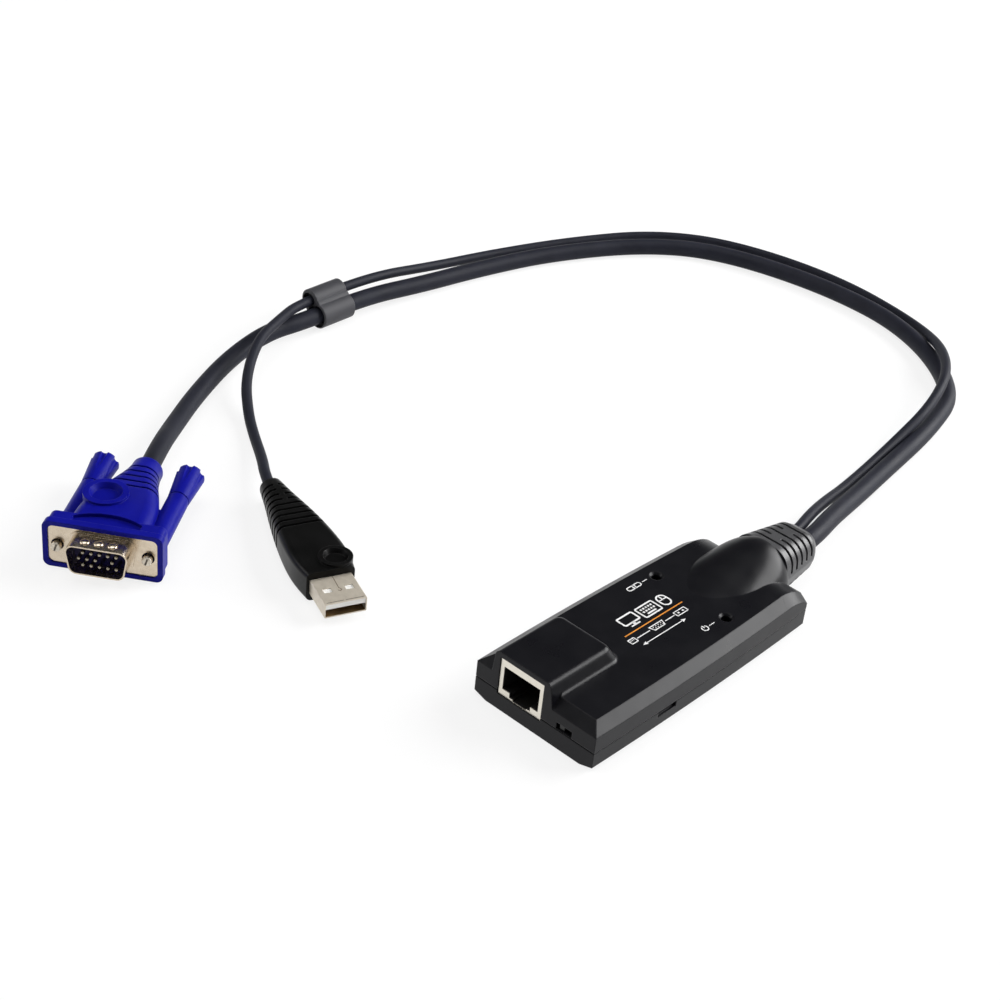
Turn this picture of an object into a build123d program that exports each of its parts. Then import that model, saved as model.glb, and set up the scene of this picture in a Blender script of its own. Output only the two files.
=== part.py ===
from build123d import *
import os
from math import atan, cos, degrees, radians, sin, tan

os.makedirs("parts", exist_ok=True)

# Case, seen from the jack end: x to the right, y to the cable end, z up.
case_length = 90.0
front_half_width = 20.0
middle_half_width = 20.15
rear_half_width = 18.7
parting_height = 5.54
side_wall_top = 10.6
top_height = 13.03
bevel_inset = 3.1
wall = 1.6
seam_gap = 0.3
seam_gap_depth = 0.5
lip_height = 1.0
lip_thickness = 0.7
lip_clearance = 0.1
bottom_chamfer_width = 4.17
bottom_chamfer_height = 1.25
roll_start = 80.0
roll_radius = 17.5

# Raised housing over the jack.
hump_top = 17.65
hump_left = -14.2
hump_right = 4.1
hump_back = 22.9
hump_left_spread = 0.8
hump_right_spread = 1.5
hump_back_spread = 5.3
hump_edge = 1.6
hump_corner = 2.6
hump_foot = 1.2
hump_wall = 1.4

# Saddle that carries the cables out of the case. Each section is an arch given by
# its station, half width, crest height and the height where the arch springs.
saddle_sections = [
    (61.5, 9.6, 12.5, 10.0),
    (67.7, 10.4, 13.8, 10.0),
    (73.0, 11.5, 14.7, 10.0),
    (80.0, 11.6, 16.2, 9.5),
    (85.7, 11.6, 17.3, 8.5),
    (90.0, 11.2, 17.8, 7.5),
    (92.9, 10.2, 17.5, 6.5),
]
saddle_wall = 1.6
neck_length = 2.9
neck_floor = 0.5
neck_haunch = 3.4
neck_slope = 1.8

# Strain relief.
boot_length = 18.5
boot_half_width = 9.3
boot_top = 16.7
boot_bottom = 1.4
boot_widest = 8.4
boot_corner = 5.6
boot_tip = 2.5
boot_tip_half_width = 7.4
boot_tip_top = 14.4
boot_tip_bottom = 2.8
boot_tip_widest = 7.7
boot_tip_corner = 4.5
boot_end_inset = 1.3
boot_shoulder_draft = 0.9
boot_foot_draft = 0.25
boot_foot_corner = 2.5
boot_slots = 5
boot_slot_pitch = 2.85
boot_slot_width = 1.0
boot_first_slot = 2.9
boot_slot_sill = 9.2
boot_notch_top = 4.6
boot_skin = 1.2
boot_bridge = 3.4
boot_stub_half_width = 6.8
boot_stub_half_height = 4.2
boot_flange_thickness = 2.2
boot_flange_rim = 1.0
cable_axis_height = 8.1

# Board and what stands on it.
board_underside = 3.1
board_thickness = 1.6
board_half_width = 17.0
board_front = 2.6
board_back = 83.0

# Modular jack.
jack_centre = -5.15
jack_width = 14.5
jack_height = 11.3
jack_depth = 17.0
jack_setback = 0.3
jack_sheet = 0.3
jack_gap = 0.12
socket_width = 12.1
socket_height = 7.1
socket_sill = 2.0
socket_depth = 12.0
latch_width = 7.1
latch_height = 1.35
latch_slot_width = 4.6
latch_slot_height = 0.5
contact_count = 8
contact_pitch = 1.02
contact_width = 0.45
contact_thickness = 0.3

# Slide switch behind the front wall.
switch_centre = 9.98
switch_window_width = 5.15
switch_window_sill = 5.93
switch_window_height = 1.93
switch_case_width = 8.6
switch_case_height = 4.2
switch_case_depth = 4.4
switch_knob_width = 1.5
switch_knob_height = 1.1
switch_knob_offset = -0.9
switch_travel = 1.8
switch_gap = 0.35

# Indicator lamps.
lamp_offset = 12.0
lamp_station = 61.3
lamp_hole = 2.7
lamp_hole_rim = 4.0
lamp_diameter = 3.0
lamp_height = 5.2
lamp_base = 3.7

# Screws that hold the covers.
screw_offset = 13.2
screw_front_station = 33.5
screw_rear_station = 74.5
screw_diameter = 2.2
screw_head = 4.2
screw_head_height = 1.3
screw_length = 7.2
post_diameter = 5.0
boss_diameter = 5.8
board_hole = 3.0
driver_width = 1.9
driver_depth = 0.7

# Notch in the rim of the lower cover.
pry_start = 24.5
pry_end = 31.8
pry_depth = 1.5
pry_cut = 0.8

# Cables.
video_cable_diameter = 5.8
usb_cable_diameter = 3.3
video_exit = 1.6
usb_exit = -3.4
cable_socket_depth = 3.0

# Collar that ties the two cables.
collar_station = 48.0
collar_length = 14.0
collar_video_x = -186.35
collar_video_z = 4.4
collar_usb_x = -190.2
collar_usb_z = 8.6
collar_usb_radius = 3.7
collar_bore_gap = 0.35
collar_recess = 2.2
collar_recess_step = 0.7

# Video plug: position of the face of its plate, and its heading.
video_x = -120.45
video_y = -96.04
video_z = 7.4
video_heading = -55.0
plate_half_width = 15.1
plate_half_height = 6.0
plate_thickness = 0.8
plate_corner = 1.6
shell_half_width = 9.0
shell_half_height = 4.5
shell_corner = 2.4
shell_sheet = 0.4
shell_reach = 6.0
shell_bead = 0.7
bezel_half_width = 16.6
bezel_half_height = 7.3
bezel_corner = 2.0
bezel_front = 0.4
bezel_back = 1.9
rim_step = 0.45
rim_back = 5.7
rim_groove = 0.3
hood_length = 41.0
hood_shoulder_half_width = 11.0
hood_shoulder_half_height = 6.9
hood_dip = 7.2
hood_dip_radius = 19.0
hood_dip_floor = 5.9
hood_neck_radius = 4.5
hood_grooves = 5
hood_groove_pitch = 2.9
hood_first_groove = 23.5
hood_groove_width = 0.8
hood_groove_depth = 0.7
badge_station = 17.0
badge_offset = -4.4
badge_radius = 6.3
badge_inner_radius = 4.6
badge_top = 7.6
badge_floor = 5.9
screw_spacing = 25.0
sleeve_radius = 3.1
sleeve_back = 28.2
thumbscrew_radius = 1.4
thumbscrew_gap = 0.35
thumbscrew_proud = 1.5
thumbscrew_embed = 9.0
knob_start = 28.6
knob_length = 12.7
knob_root_radius = 3.1
knob_end_radius = 4.1
knob_flutes = 6
knob_flute_radius = 1.2
pin_radius = 0.5
pin_pitch = 2.29
pin_row = 1.98
pin_shift = 0.57
pin_reach = 5.0
insulator_face = 0.8
insulator_depth = 4.2

# USB plug: position of the mouth of its shell, and its heading.
usb_x = -63.14
usb_y = -60.49
usb_z = 4.5
usb_heading = -22.0
usb_shell_width = 12.0
usb_shell_height = 4.5
usb_shell_sheet = 0.3
usb_shell_visible = 11.5
usb_shell_embed = 7.0
usb_window_station = 5.8
usb_window_offset = 3.1
usb_window_width = 2.4
usb_window_length = 2.0
usb_grip_end = 60.0
usb_grip_half_height = 4.5
usb_tongue_thickness = 1.6
usb_tongue_setback = 0.2
usb_contact_width = 1.0
usb_contact_thickness = 0.15
usb_grooves = 9
usb_groove_pitch = 2.7
usb_first_groove = 34.0
usb_groove_width = 1.0
usb_groove_depth = 0.6
usb_badge_station = 16.4
usb_badge_offset = 3.1
usb_badge_radius = 4.75
usb_badge_inner_radius = 3.5
usb_badge_top = 5.2
usb_badge_floor = 3.9

overall_length = case_length + neck_length + boot_length
front = -overall_length / 2
rear_wall = front + case_length
seam = rear_wall + neck_length
boot_end = seam + boot_length
board_top = board_underside + board_thickness
bevel_height = top_height - side_wall_top
video_plane = Plane(
    origin=(video_x, video_y, video_z),
    x_dir=(cos(radians(video_heading)), sin(radians(video_heading)), 0),
    z_dir=(0, 0, 1),
)
usb_plane = Plane(
    origin=(usb_x, usb_y, usb_z),
    x_dir=(cos(radians(usb_heading)), sin(radians(usb_heading)), 0),
    z_dir=(0, 0, 1),
)


def save(name, shape):
    """Write one node."""
    export_step(shape, "parts/" + name + ".step")


def group(solids):
    """Keep several separate solids together as one node."""
    return Compound(children=list(solids))


def block(x0, x1, y0, y1, z0, z1):
    """Box between two corners."""
    centre = ((x0 + x1) / 2, (y0 + y1) / 2, (z0 + z1) / 2)
    return Pos(*centre) * Box(abs(x1 - x0), abs(y1 - y0), abs(z1 - z0))


def post(x, y, z0, z1, radius):
    """Upright cylinder between two heights."""
    return Pos(x, y, (z0 + z1) / 2) * Cylinder(radius, z1 - z0)


def rod(a0, a1, b, c, radius):
    """Cylinder along the first axis of a plug."""
    return Pos((a0 + a1) / 2, b, c) * Rot(0, 90, 0) * Cylinder(radius, a1 - a0)


def plan(inset, extend):
    """Outline of the case from above, moved in by inset and carried back by extend."""
    y0 = front + inset
    y1 = rear_wall
    y2 = rear_wall + extend
    half = front_half_width - inset
    middle = middle_half_width - inset
    back = rear_half_width - inset
    edges = [
        Line((-half, y0), (half, y0)),
        ThreePointArc((half, y0), (middle, front + case_length / 2), (back, y1)),
        ThreePointArc((-back, y1), (-middle, front + case_length / 2), (-half, y0)),
    ]
    if extend > 0:
        slope = (rear_half_width - middle_half_width) / (case_length / 2) * 1.6
        edges.append(Line((back, y1), (back + slope * extend, y2)))
        edges.append(Line((back + slope * extend, y2), (-back - slope * extend, y2)))
        edges.append(Line((-back - slope * extend, y2), (-back, y1)))
    else:
        edges.append(Line((back, y1), (-back, y1)))
    return make_face(Wire(edges))


def roll_profile(offset):
    """Region above the rounded rear of the top, in the y-z plane."""
    y0 = front + roll_start
    z0 = top_height - offset
    radius = roll_radius - offset
    reach = min(case_length - roll_start + 3.0, radius * 0.9)
    turn = atan(reach / (radius**2 - reach**2) ** 0.5)
    end = (y0 + radius * sin(turn), z0 - radius * (1 - cos(turn)))
    mid = (y0 + radius * sin(turn / 2), z0 - radius * (1 - cos(turn / 2)))
    edges = [
        Line((y0, z0), (y0, z0 + 12)),
        Line((y0, z0 + 12), (end[0], z0 + 12)),
        Line((end[0], z0 + 12), end),
        ThreePointArc(end, mid, (y0, z0)),
    ]
    return make_face(Wire(edges))


def case_form(inset, base, offset, extend):
    """Upper case body: upright sides, bevels and the rounded rear."""
    shape = extrude(Pos(0, 0, base) * plan(inset, extend), side_wall_top - base)
    taper = degrees(atan(bevel_inset / bevel_height))
    crown = extrude(
        Pos(0, 0, side_wall_top) * plan(inset, extend), bevel_height - offset, taper=taper
    )
    shape = shape + crown
    station = rear_half_width + 0.4 - bevel_inset
    profile = Plane.YZ * roll_profile(offset)
    shape = shape - extrude(Pos(-station, 0, 0) * profile, 2 * station, dir=(1, 0, 0))
    for side in (-1, 1):
        direction = Vector(side * bevel_inset, 0, -bevel_height).normalized()
        start = Pos(side * station, 0, 0) * profile
        shape = shape - extrude(start, 9.0, dir=direction)
    return shape


def saddle_section(station, half, crest, spring, foot, inset):
    """Arched section of the saddle at one station."""
    half = half - inset
    edges = [
        Line((-half, foot), (half, foot)),
        Line((half, foot), (half, spring)),
        EllipticalCenterArc((0, spring), half, crest - inset - spring, 0, arc_size=180),
        Line((-half, spring), (-half, foot)),
    ]
    plane = Plane(origin=(0, front + station, 0), x_dir=(1, 0, 0), z_dir=(0, -1, 0))
    return plane * make_face(Wire(edges))


def saddle_form(inset, foot):
    """Saddle from its toe to the strain relief."""
    faces = []
    for station, half, crest, spring in saddle_sections:
        faces.append(saddle_section(station, half, crest, spring, foot, inset))
    return loft(faces)


def boot_face(share, tuck, inset):
    """Section of the strain relief at a share of its taper, drawn in by tuck."""

    def at(start, end):
        return start + (end - start) * share

    half = at(boot_half_width, boot_tip_half_width) - tuck
    top = at(boot_top, boot_tip_top) - tuck
    bottom = at(boot_bottom, boot_tip_bottom) + tuck
    widest = at(boot_widest, boot_tip_widest)
    corner = at(boot_corner, boot_tip_corner) - tuck / 2
    foot = half - boot_foot_draft * (widest - bottom)
    points = [
        (-foot, bottom),
        (foot, bottom),
        (half, widest),
        (half - boot_shoulder_draft, top),
        (-half + boot_shoulder_draft, top),
        (-half, widest),
    ]
    face = make_face(Polyline(*points, close=True))
    face = fillet([v for v in face.vertices() if v.Y > top - 0.01], corner)
    face = fillet([v for v in face.vertices() if v.Y < widest + 0.01], boot_foot_corner)
    if inset > 0:
        face = offset(face, -inset)
    station = seam + share * (boot_length - boot_tip)
    if tuck > 0:
        station = boot_end
    plane = Plane(origin=(0, station, 0), x_dir=(1, 0, 0), z_dir=(0, -1, 0))
    return plane * face


def boot_form(inset):
    """Tapering body of the strain relief with its rounded end."""
    body = loft([boot_face(0, 0, inset), boot_face(1, 0, inset)])
    return body + loft([boot_face(1, 0, inset), boot_face(1, boot_end_inset, inset)])


def top_cover():
    """Upper half of the case."""
    outer = case_form(0, parting_height, 0, 6.0)
    outer = outer - block(-30, 30, rear_wall, rear_wall + 10, 0, 40)
    base = Pos(0, 0, side_wall_top - 0.4) * make_face(
        Polyline(
            (hump_left - hump_left_spread, front),
            (hump_right + hump_right_spread, front),
            (hump_right + hump_right_spread, front + hump_back + hump_back_spread),
            (hump_left - hump_left_spread, front + hump_back + hump_back_spread),
            close=True,
        )
    )
    crest = Pos(0, 0, hump_top) * make_face(
        Polyline(
            (hump_left, front),
            (hump_right, front),
            (hump_right, front + hump_back),
            (hump_left, front + hump_back),
            close=True,
        )
    )
    hump = loft([base, crest])
    corners = [e for e in hump.edges() if abs(e.center().Z - (hump_top + side_wall_top) / 2) < 1]
    corners = [e for e in corners if e.center().Y > front + 5]
    hump = fillet(corners, hump_corner)
    rim = [e for e in hump.edges() if e.center().Z > hump_top - 0.05]
    rim = [e for e in rim if e.center().Y > front + 0.05]
    hump = fillet(rim, hump_edge)
    outer = outer + hump
    outer = fillet(hump_foot_edges(outer), hump_foot)
    outer = outer + saddle_form(0, parting_height)
    inner = case_form(wall, parting_height - 1, wall, 0)
    hollow = block(
        hump_left + hump_wall,
        hump_right - hump_wall,
        front + wall,
        front + hump_back - hump_wall,
        parting_height,
        hump_top - hump_wall,
    )
    tunnel = saddle_form(saddle_wall, parting_height - 1)
    tunnel = tunnel - block(-30, 30, rear_wall - wall, boot_end, 0, 40)
    cavity = inner - block(-30, 30, rear_wall - wall, rear_wall + 2, 0, 40)
    cover = outer - cavity - hollow - tunnel
    cover = cover - boot_seat()
    cover = cover - jack_opening()
    cover = cover - switch_window()
    band = block(-30, 30, front - 1, rear_wall, parting_height, parting_height + seam_gap)
    cover = cover - (band - extrude(plan(seam_gap_depth, 0), 2 * parting_height))
    for side in (-1, 1):
        x = side * lamp_offset
        y = front + lamp_station
        cover = cover - post(x, y, 8.0, 20.0, lamp_hole / 2)
        depth = (lamp_hole_rim - lamp_hole) / 2
        cone = Pos(x, y, top_height - depth / 2) * Cone(lamp_hole / 2, lamp_hole_rim / 2, depth)
        cover = cover - cone
        for station in (screw_front_station, screw_rear_station):
            px = side * screw_offset
            py = front + station
            stem = post(px, py, board_top, top_height - wall / 2, post_diameter / 2)
            cover = cover + stem
            reach = screw_head_height + screw_length
            cover = cover - post(px, py, board_top - 1, reach, screw_diameter / 2)
    return cover


def hump_foot_edges(shape):
    """Straight edges where the flanks of the raised housing meet the flat top."""
    edges = []
    for edge in shape.edges():
        middle = edge.center()
        level = abs(middle.Z - top_height) < 0.02 and edge.length > 5
        inside = hump_left - 2 < middle.X < hump_right + 2
        if level and inside and front + 4 < middle.Y < front + hump_back + 6:
            edges.append(edge)
    return edges


def boot_seat():
    """Opening in the rear of the case that holds the strain relief."""
    stub = Pos(0, (rear_wall - 12 + seam) / 2, cable_axis_height) * Box(
        2 * boot_stub_half_width, 12 + neck_length + 2, 2 * boot_stub_half_height
    )
    rim = boot_flange_rim
    flange = Pos(
        0, rear_wall - wall - boot_flange_thickness / 2, cable_axis_height
    ) * Box(
        2 * (boot_stub_half_width + rim),
        boot_flange_thickness,
        2 * (boot_stub_half_height + rim),
    )
    return stub + flange


def jack_opening():
    """Opening in the front walls around the jack."""
    half = jack_width / 2 + jack_gap
    return block(
        jack_centre - half,
        jack_centre + half,
        front - 1,
        front + wall + 0.5,
        board_top,
        board_top + jack_height + jack_gap,
    )


def switch_window():
    """Window in the front wall over the slide switch."""
    half = switch_window_width / 2
    return block(
        switch_centre - half,
        switch_centre + half,
        front - 1,
        front + wall + 0.2,
        switch_window_sill,
        switch_window_sill + switch_window_height,
    )


def neck_section(y):
    """Lower half of the saddle's mouth at one station."""
    first, last = saddle_sections[-2:]
    share = (y - front - first[0]) / (last[0] - first[0])
    half = first[1] + (last[1] - first[1]) * max(share, 0)
    points = [
        (-half, parting_height),
        (-half, neck_haunch),
        (-half + neck_slope, neck_floor),
        (half - neck_slope, neck_floor),
        (half, neck_haunch),
        (half, parting_height),
    ]
    plane = Plane(origin=(0, y, 0), x_dir=(1, 0, 0), z_dir=(0, -1, 0))
    return plane * make_face(Polyline(*points, close=True))


def bottom_cover():
    """Lower half of the case."""
    shape = extrude(plan(0, 0), parting_height)
    for side in (-1, 1):
        edge = max(front_half_width, middle_half_width)
        wedge = make_face(
            Polyline(
                (side * (edge - bottom_chamfer_width), 0),
                (side * (edge + 1), 0),
                (side * (edge + 1), bottom_chamfer_height * (1 + 1 / bottom_chamfer_width)),
                close=True,
            )
        )
        plane = Plane(origin=(0, front - 1, 0), x_dir=(1, 0, 0), z_dir=(0, -1, 0))
        shape = shape - extrude(plane * wedge, -(case_length + 2))
    cavity = extrude(Pos(0, 0, wall) * plan(wall, 0), parting_height)
    cavity = cavity - block(-30, 30, rear_wall - wall, rear_wall + 2, 0, 40)
    shape = shape - cavity
    neck = loft([neck_section(rear_wall - 1), neck_section(seam)])
    shape = shape + neck
    for side in (-1, 1):
        for station in (screw_front_station, screw_rear_station):
            px = side * screw_offset
            py = front + station
            shape = shape + post(px, py, wall / 2, board_underside, boss_diameter / 2)
            shape = shape - post(px, py, -1, screw_head_height, screw_head / 2)
            shape = shape - post(px, py, 0, board_underside + 1, screw_diameter / 2)
    shape = shape - boot_seat()
    shape = shape - jack_opening()
    notch = block(
        rear_half_width - 1,
        30,
        front + pry_start,
        front + pry_end,
        parting_height - pry_depth,
        parting_height + 2,
    )
    shape = shape - (notch - extrude(plan(pry_cut, 0), parting_height + 1))
    seat = wall + lip_clearance
    rail_base = board_top + 0.2
    rail = extrude(Pos(0, 0, rail_base) * plan(wall - 0.2, 0), parting_height - rail_base)
    rail = rail + extrude(
        Pos(0, 0, parting_height - 0.1) * plan(seat, 0), lip_height + 0.1
    )
    rail = rail - extrude(Pos(0, 0, 0) * plan(seat + lip_thickness, 0), parting_height + 3)
    for side in (-1, 1):
        shape = shape + (
            rail & block(side * 12, side * 25, front + 8, front + 78, 0, 20)
        )
    shape = shape + block(-9, 9, front + 10, front + 11.2, wall / 2, board_underside)
    shape = shape + block(-9, 9, front + 56, front + 57.2, wall / 2, board_underside)
    return shape


def circuit_board():
    """Board that carries the jack, the switch and the circuits."""
    shape = block(
        -board_half_width,
        board_half_width,
        front + board_front,
        front + board_back,
        board_underside,
        board_top,
    )
    for side in (-1, 1):
        for station in (screw_front_station, screw_rear_station):
            hole = post(side * screw_offset, front + station, 0, 10, board_hole / 2)
            shape = shape - hole
    return shape


def cover_screws():
    """Four self-tapping screws driven from below."""
    screws = []
    for side in (-1, 1):
        for station in (screw_front_station, screw_rear_station):
            x = side * screw_offset
            y = front + station
            screw = post(x, y, 0.1, screw_head_height, screw_head / 2)
            end = screw_head_height + screw_length
            screw = screw + post(x, y, screw_head_height - 0.1, end, screw_diameter / 2)
            for turn in (0, 90):
                arm = Rot(0, 0, turn) * Box(driver_width, 0.5, driver_depth)
                screw = screw - Pos(x, y, 0.1 + driver_depth / 2) * arm
            screws.append(screw)
    return group(screws)


def socket_mouth(y0, y1, grow):
    """Opening for a modular plug with the notch for its latch."""
    sill = board_top + socket_sill
    shape = block(
        jack_centre - socket_width / 2 - grow,
        jack_centre + socket_width / 2 + grow,
        y0,
        y1,
        sill - grow,
        sill + socket_height + grow,
    )
    shape = shape + block(
        jack_centre - latch_width / 2 - grow,
        jack_centre + latch_width / 2 + grow,
        y0,
        y1,
        sill - latch_height,
        sill + 1,
    )
    return shape + block(
        jack_centre - latch_slot_width / 2 - grow,
        jack_centre + latch_slot_width / 2 + grow,
        y0,
        y1,
        sill - latch_height - latch_slot_height + grow,
        sill,
    )


jack_front = front + jack_setback
jack_back = jack_front + jack_depth
jack_top = board_top + jack_height
contact_chamber_depth = 1.3
contact_chamber_start = 2.4
contact_chamber_end = 11.5


def jack_shield():
    """Folded steel shell around the jack."""
    half = jack_width / 2
    shell = block(
        jack_centre - half, jack_centre + half, jack_front, jack_back, board_top, jack_top
    )
    shell = shell - block(
        jack_centre - half + jack_sheet,
        jack_centre + half - jack_sheet,
        jack_front + jack_sheet,
        jack_back - jack_sheet,
        board_top - 1,
        jack_top - jack_sheet,
    )
    return shell - socket_mouth(jack_front - 1, jack_front + 1, 0)


def jack_insert():
    """Moulded body of the jack."""
    half = jack_width / 2 - jack_sheet
    body = block(
        jack_centre - half,
        jack_centre + half,
        jack_front + jack_sheet,
        jack_back - jack_sheet,
        board_top,
        jack_top - jack_sheet,
    )
    body = body - socket_mouth(jack_front - 1, jack_front + socket_depth, 0)
    ceiling = board_top + socket_sill + socket_height
    width = contact_count * contact_pitch + 0.4
    return body - block(
        jack_centre - width / 2,
        jack_centre + width / 2,
        jack_front + contact_chamber_start,
        jack_front + contact_chamber_end,
        ceiling - 1,
        ceiling + contact_chamber_depth,
    )


def jack_contacts():
    """Row of spring wires sloping down from the roof of the jack."""
    ceiling = board_top + socket_sill + socket_height
    y0 = jack_front + contact_chamber_start
    y1 = jack_front + contact_chamber_end - 1.4
    z0 = ceiling + contact_chamber_depth - 0.35
    z1 = ceiling - 2.0
    t = contact_thickness
    outline = make_face(
        Polyline(
            (y0, z0),
            (y0 + 1.0, z0),
            (y1, z1),
            (y1 + 0.5, z1 + 0.3),
            (y1 + 0.5, z1 + 0.3 + t),
            (y1, z1 + t),
            (y0 + 1.1, z0 + t),
            (y0, z0 + t),
            close=True,
        )
    )
    wires = []
    for i in range(contact_count):
        x = jack_centre + (i - (contact_count - 1) / 2) * contact_pitch
        wire = extrude(Plane.YZ * outline, contact_width, dir=(1, 0, 0))
        wires.append(Pos(x - contact_width / 2, 0, 0) * wire)
    return group(wires)


switch_front = front + wall + 0.25
switch_axis = switch_window_sill + switch_window_height / 2
switch_rest = switch_centre + switch_knob_offset
switch_plate_width = switch_knob_width + 1.0
switch_plate_height = switch_knob_height + 0.8


def switch_case():
    """Housing of the slide switch."""
    body = block(
        switch_centre - switch_case_width / 2,
        switch_centre + switch_case_width / 2,
        switch_front,
        switch_front + switch_case_depth,
        board_top,
        board_top + switch_case_height,
    )
    body = body - block(
        switch_rest - switch_knob_width / 2 - switch_gap,
        switch_rest + switch_travel + switch_knob_width / 2 + switch_gap,
        switch_front - 1,
        switch_front + 2,
        switch_axis - switch_knob_height / 2 - switch_gap,
        switch_axis + switch_knob_height / 2 + switch_gap,
    )
    return body - block(
        switch_rest - switch_plate_width / 2 - switch_gap,
        switch_rest + switch_travel + switch_plate_width / 2 + switch_gap,
        switch_front + 0.7,
        switch_front + 2.6,
        switch_axis - switch_plate_height / 2 - switch_gap,
        switch_axis + switch_plate_height / 2 + switch_gap,
    )


def switch_knob():
    """Sliding finger of the switch."""
    finger = block(
        switch_rest - switch_knob_width / 2,
        switch_rest + switch_knob_width / 2,
        front + 0.4,
        switch_front + 1.6,
        switch_axis - switch_knob_height / 2,
        switch_axis + switch_knob_height / 2,
    )
    return finger + block(
        switch_rest - switch_plate_width / 2,
        switch_rest + switch_plate_width / 2,
        switch_front + 1.05,
        switch_front + 2.25,
        switch_axis - switch_plate_height / 2,
        switch_axis + switch_plate_height / 2,
    )


def lamp(side):
    """Round indicator lamp under its hole."""
    x = side * lamp_offset
    y = front + lamp_station
    radius = lamp_diameter / 2
    shape = post(x, y, board_top, board_top + 1.0, lamp_base / 2)
    shape = shape + post(x, y, board_top, board_top + lamp_height - radius, radius)
    return shape + Pos(x, y, board_top + lamp_height - radius) * Sphere(radius)


def chip(x, y, size, leads, height):
    """Flat square chip with bent leads on four sides."""
    body = block(
        x - size / 2,
        x + size / 2,
        y - size / 2,
        y + size / 2,
        board_top + 0.15,
        board_top + height,
    )
    pitch = (size - 1.2) / (leads - 1)
    bars = []
    for i in range(leads):
        shift = (i - (leads - 1) / 2) * pitch
        reach = size / 2 + 0.9
        bars.append(
            block(x + shift - 0.15, x + shift + 0.15, y - reach, y + reach, board_top, board_top + 0.3)
        )
        bars.append(
            block(x - reach, x + reach, y + shift - 0.15, y + shift + 0.15, board_top, board_top + 0.3)
        )
    return body.fuse(*bars)


def line_transformer():
    """Block of isolation windings behind the jack."""
    y0 = front + 21.0
    body = block(jack_centre - 6.4, jack_centre + 6.4, y0, y0 + 7.0, board_top + 0.3, board_top + 5.6)
    feet = []
    for i in range(8):
        x = jack_centre + (i - 3.5) * 1.5
        feet.append(block(x - 0.25, x + 0.25, y0 - 0.8, y0 + 7.8, board_top, board_top + 0.5))
    return body.fuse(*feet)


def crystal():
    """Low metal can."""
    x = 10.7
    y = front + 44.0
    can = extrude(Pos(x, y, board_top) * SlotOverall(10.6, 4.2), 3.3)
    rim = extrude(Pos(x, y, board_top) * SlotOverall(11.4, 5.0), 0.5)
    return can + rim


def board_capacitors():
    """Three small can capacitors."""
    cans = []
    for x, station in ((-13.0, 43.0), (-13.0, 50.5), (13.6, 51.5)):
        y = front + station
        can = post(x, y, board_top + 0.4, board_top + 5.4, 2.4)
        can = can + block(x - 2.6, x + 2.6, y - 2.6, y + 2.6, board_top, board_top + 0.5)
        cans.append(can)
    return group(cans)


header_back = 73.0
header_depth = 4.4
header_height = 5.6
core_radius = 0.55
video_cores = 6
usb_cores = 3


def cable_headers():
    """Two sockets where the cores of the cables end."""
    y1 = front + header_back
    y0 = y1 - header_depth
    first = block(-1.4, 8.0, y0, y1, board_top, board_top + header_height)
    second = block(-7.6, -2.4, y0, y1, board_top, board_top + header_height)
    return group([first, second])


def core_wires():
    """Insulated cores between the sockets and the strain relief."""
    y0 = front + header_back
    y1 = rear_wall - wall - boot_flange_thickness
    wires = []
    for i in range(video_cores):
        x = 3.3 + (i - (video_cores - 1) / 2) * 1.4
        wires.append(Pos(x, (y0 + y1) / 2, cable_axis_height) * Rot(90, 0, 0) * Cylinder(core_radius, y1 - y0))
    for i in range(usb_cores):
        x = -5.0 + (i - (usb_cores - 1) / 2) * 1.4
        wires.append(Pos(x, (y0 + y1) / 2, cable_axis_height) * Rot(90, 0, 0) * Cylinder(core_radius, y1 - y0))
    return group(wires)


def cable_boot():
    """Slotted strain relief with its flange held between the covers."""
    body = boot_form(0)
    skin = boot_form(0) - boot_form(boot_skin)
    for i in range(boot_slots):
        y = seam + boot_first_slot + i * boot_slot_pitch
        slab = block(-20, 20, y - boot_slot_width / 2, y + boot_slot_width / 2, -5, 30)
        cut = skin & slab
        cut = cut - block(-20, 20, y - 2, y + 2, boot_notch_top, boot_slot_sill)
        if i % 2 == 1:
            cut = cut - block(-boot_bridge / 2, boot_bridge / 2, y - 2, y + 2, boot_slot_sill, 30)
        cut = cut - block(-boot_bridge, boot_bridge, y - 2, y + 2, -5, boot_notch_top)
        body = body - cut
    stub = Pos(0, (rear_wall - wall + seam) / 2, cable_axis_height) * Box(
        2 * boot_stub_half_width, wall + neck_length, 2 * boot_stub_half_height
    )
    rim = boot_flange_rim
    flange = Pos(
        0, rear_wall - wall - boot_flange_thickness / 2, cable_axis_height
    ) * Box(
        2 * (boot_stub_half_width + rim),
        boot_flange_thickness,
        2 * (boot_stub_half_height + rim),
    )
    body = body + stub + flange
    for x, size in ((video_exit, video_cable_diameter), (usb_exit, usb_cable_diameter)):
        socket = Pos(x, boot_end - cable_socket_depth / 2 + 0.5, cable_axis_height)
        body = body - socket * Rot(90, 0, 0) * Cylinder(size / 2, cable_socket_depth + 1)
    return body


def cord(name, points, size):
    """Round cable: straight runs joined by tangent arcs."""
    points = [Vector(*p) for p in points]
    runs = [(b - a).length for a, b in zip(points, points[1:])]
    radii = []
    for i in range(1, len(points) - 1):
        into = (points[i] - points[i - 1]).normalized()
        out = (points[i + 1] - points[i]).normalized()
        turn = radians(into.get_angle(out))
        radii.append(0.45 * min(runs[i - 1], runs[i]) / tan(turn / 2))
    path = FilletPolyline(*points, radius=radii)
    section = Plane(origin=points[0], z_dir=points[1] - points[0]) * Circle(size / 2)
    tube = sweep(section, path=path)
    print(name, "radii", [round(r) for r in radii])
    print(name, "length", round(path.length, 1), "share", round(tube.volume / (3.14159265 * size**2 / 4 * path.length), 4))
    return tube


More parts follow.
